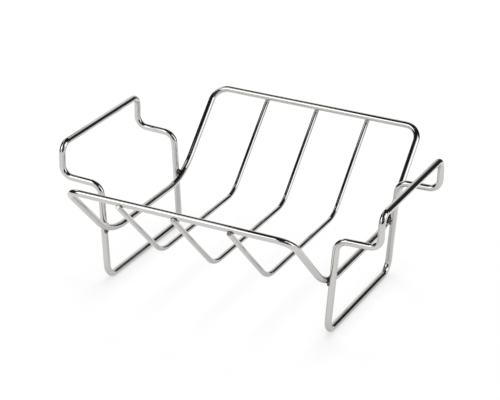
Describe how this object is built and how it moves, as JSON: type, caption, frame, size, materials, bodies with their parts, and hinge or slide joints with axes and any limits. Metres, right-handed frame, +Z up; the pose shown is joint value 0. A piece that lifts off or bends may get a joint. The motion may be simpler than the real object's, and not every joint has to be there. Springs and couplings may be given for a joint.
{
  "type": "roasting rack",
  "caption": "Welded wire roasting rack: an open trough with sloping sides, carried at each end by a closed wire frame that is foot, legs, shelf and raised handle bar.",
  "frame": {"origin": "middle of the footprint, on the surface that the two foot bars stand on", "axes": "+X along the rails from handle to handle, +Y across the trough, +Z up"},
  "size_m": [0.3092, 0.283, 0.1251],
  "materials": {
    "bright_steel_wire": "bright plated round steel wire, near mirror, a little soft along the drawn wire and dull at the welds"
  },
  "bodies": {
    "root": {"trough_frame": "bright_steel_wire", "left_end_frame": "bright_steel_wire", "right_end_frame": "bright_steel_wire", "trough_wire_1": "bright_steel_wire", "trough_wire_2": "bright_steel_wire", "trough_wire_3": "bright_steel_wire"}
  },
  "joints": []
}
